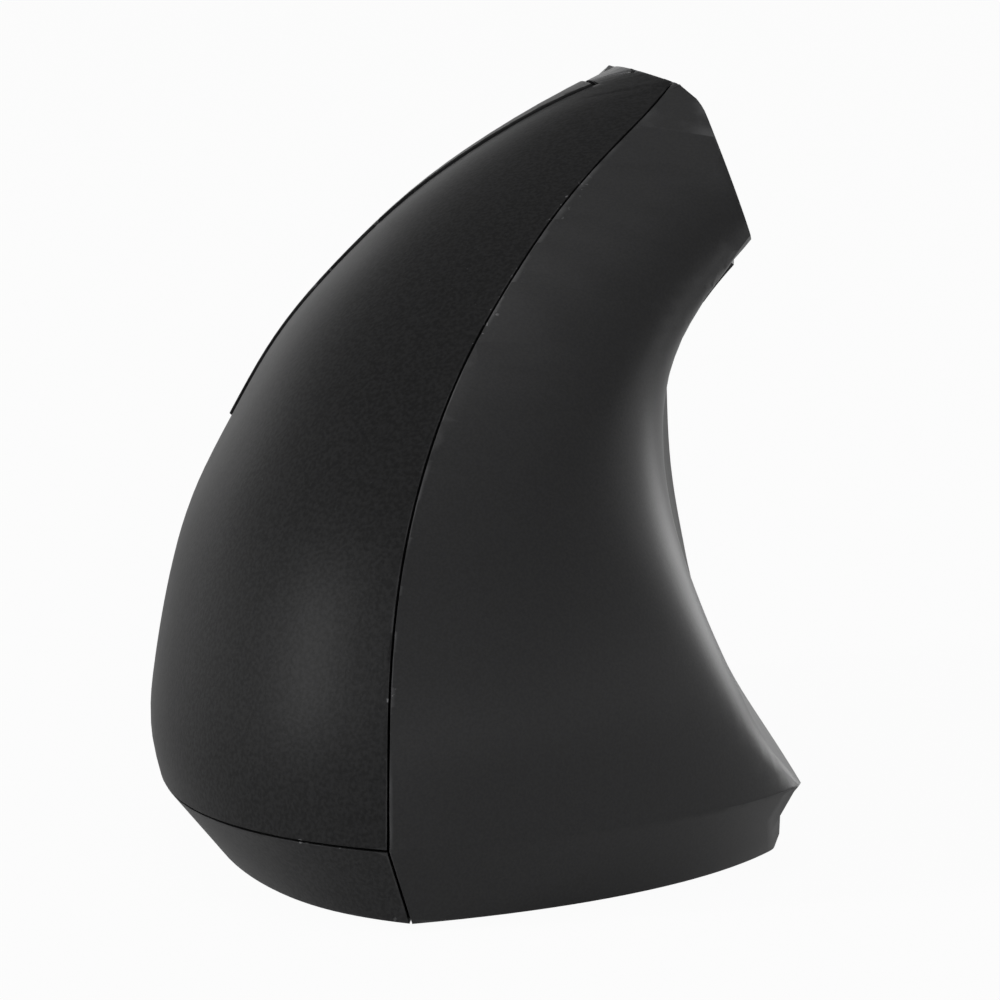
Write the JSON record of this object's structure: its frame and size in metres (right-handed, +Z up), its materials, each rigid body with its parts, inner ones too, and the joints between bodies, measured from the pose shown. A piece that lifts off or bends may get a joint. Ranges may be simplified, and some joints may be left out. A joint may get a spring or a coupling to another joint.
{
  "type": "vertical ergonomic mouse",
  "caption": "Upright wireless mouse for the left hand: palm and thumb shells on a skirted base, hinged main buttons, scroll wheel, side buttons, battery door and stowed receiver.",
  "frame": {"origin": "on the desk under the middle of the footprint", "axes": "+X towards the thumb side, +Y towards the nose, +Z up"},
  "size_m": [0.066, 0.1203, 0.0756],
  "materials": {
    "base_plastic": "fine matte",
    "shell_plastic": "soft matte, fine grain",
    "thumb_plastic": "smooth matte",
    "trim_plastic": "satin",
    "side_plastic": "satin",
    "inner_plastic": "moulded",
    "wheel_rubber": "grooved matte",
    "pin_steel": "plain",
    "board_laminate": "lacquered laminate",
    "switch_plastic": "moulded",
    "clear_plastic": "clear",
    "contact_metal": "bright plated",
    "cell_sleeve": "plain printed film",
    "foot_plastic": "slippery smooth"
  },
  "bodies": {
    "housing": {"base_case": "base_plastic", "palm_shell": "shell_plastic", "thumb_shell": "thumb_plastic", "front_cover": "shell_plastic", "top_trim": "trim_plastic", "inner_frame": "inner_plastic", "button_pin": "pin_steel", "button_board": "board_laminate", "primary_switch": "switch_plastic", "secondary_switch": "switch_plastic", "middle_switch": "switch_plastic", "wheel_encoder": "switch_plastic", "side_board": "board_laminate", "side_switches": "switch_plastic", "dpi_board": "board_laminate", "dpi_switch": "switch_plastic", "indicator_lens": "clear_plastic", "indicator_lamp": "clear_plastic", "main_board": "board_laminate", "sensor_chip": "switch_plastic", "sensor_lens": "clear_plastic", "power_switch": "contact_metal", "board_screws": "pin_steel", "case_screws": "pin_steel", "battery_left": "cell_sleeve", "battery_right": "cell_sleeve", "battery_contacts": "contact_metal", "glide_feet": "foot_plastic"},
    "primary": {"primary_button": "shell_plastic"},
    "secondary": {"secondary_button": "shell_plastic"},
    "carrier": {"wheel_carrier": "inner_plastic"},
    "wheel": {"scroll_hub": "inner_plastic", "scroll_tyre": "wheel_rubber", "scroll_axle": "inner_plastic"},
    "side_front": {"side_button_front": "side_plastic"},
    "side_back": {"side_button_back": "side_plastic"},
    "resolution": {"dpi_button": "side_plastic"},
    "power": {"power_slider": "side_plastic"},
    "door": {"battery_door": "base_plastic"},
    "receiver": {"receiver_body": "side_plastic", "receiver_plug": "contact_metal"}
  },
  "joints": [
    {"name": "primary_click", "type": "hinge", "parent": "housing", "child": "primary", "pos_m": [-0.02794, -0.0012, 0.02344], "axis": [-0.6428, 0, -0.766], "range_deg": [0, 0.9], "stiffness_Nm_per_rad": 2.4, "springref_deg": -0.23},
    {"name": "secondary_click", "type": "hinge", "parent": "housing", "child": "secondary", "pos_m": [-0.02794, -0.0012, 0.02344], "axis": [-0.6428, 0, -0.766], "range_deg": [0, 0.9], "stiffness_Nm_per_rad": 2.4, "springref_deg": -0.23},
    {"name": "wheel_press", "type": "slide", "parent": "housing", "child": "carrier", "axis": [0.766, 0, -0.6428], "range_m": [0, 0.0005], "stiffness_N_per_m": 600, "springref_m": -0.0004},
    {"name": "wheel_spin", "type": "hinge", "parent": "carrier", "child": "wheel", "pos_m": [-0.00099, 0.0264, 0.05212], "axis": [0.6428, 0, 0.766], "continuous": true},
    {"name": "side_front_press", "type": "slide", "parent": "housing", "child": "side_front", "axis": [-0.8572, 0, 0.515], "range_m": [0, 0.0006], "stiffness_N_per_m": 700, "springref_m": -0.0004},
    {"name": "side_back_press", "type": "slide", "parent": "housing", "child": "side_back", "axis": [-0.8572, 0, 0.515], "range_m": [0, 0.0006], "stiffness_N_per_m": 700, "springref_m": -0.0004},
    {"name": "resolution_press", "type": "slide", "parent": "housing", "child": "resolution", "axis": [-0.3538, -0.1593, -0.9217], "range_m": [0, 0.0004], "stiffness_N_per_m": 700, "springref_m": -0.0004},
    {"name": "power_slide", "type": "slide", "parent": "housing", "child": "power", "axis": [0, 1, 0], "range_m": [0, 0.0025]},
    {"name": "door_slide", "type": "slide", "parent": "housing", "child": "door", "axis": [0, 0, -1], "range_m": [0, 0.03]},
    {"name": "receiver_slide", "type": "slide", "parent": "housing", "child": "receiver", "axis": [0, 0, -1], "range_m": [0, 0.024]}
  ]
}
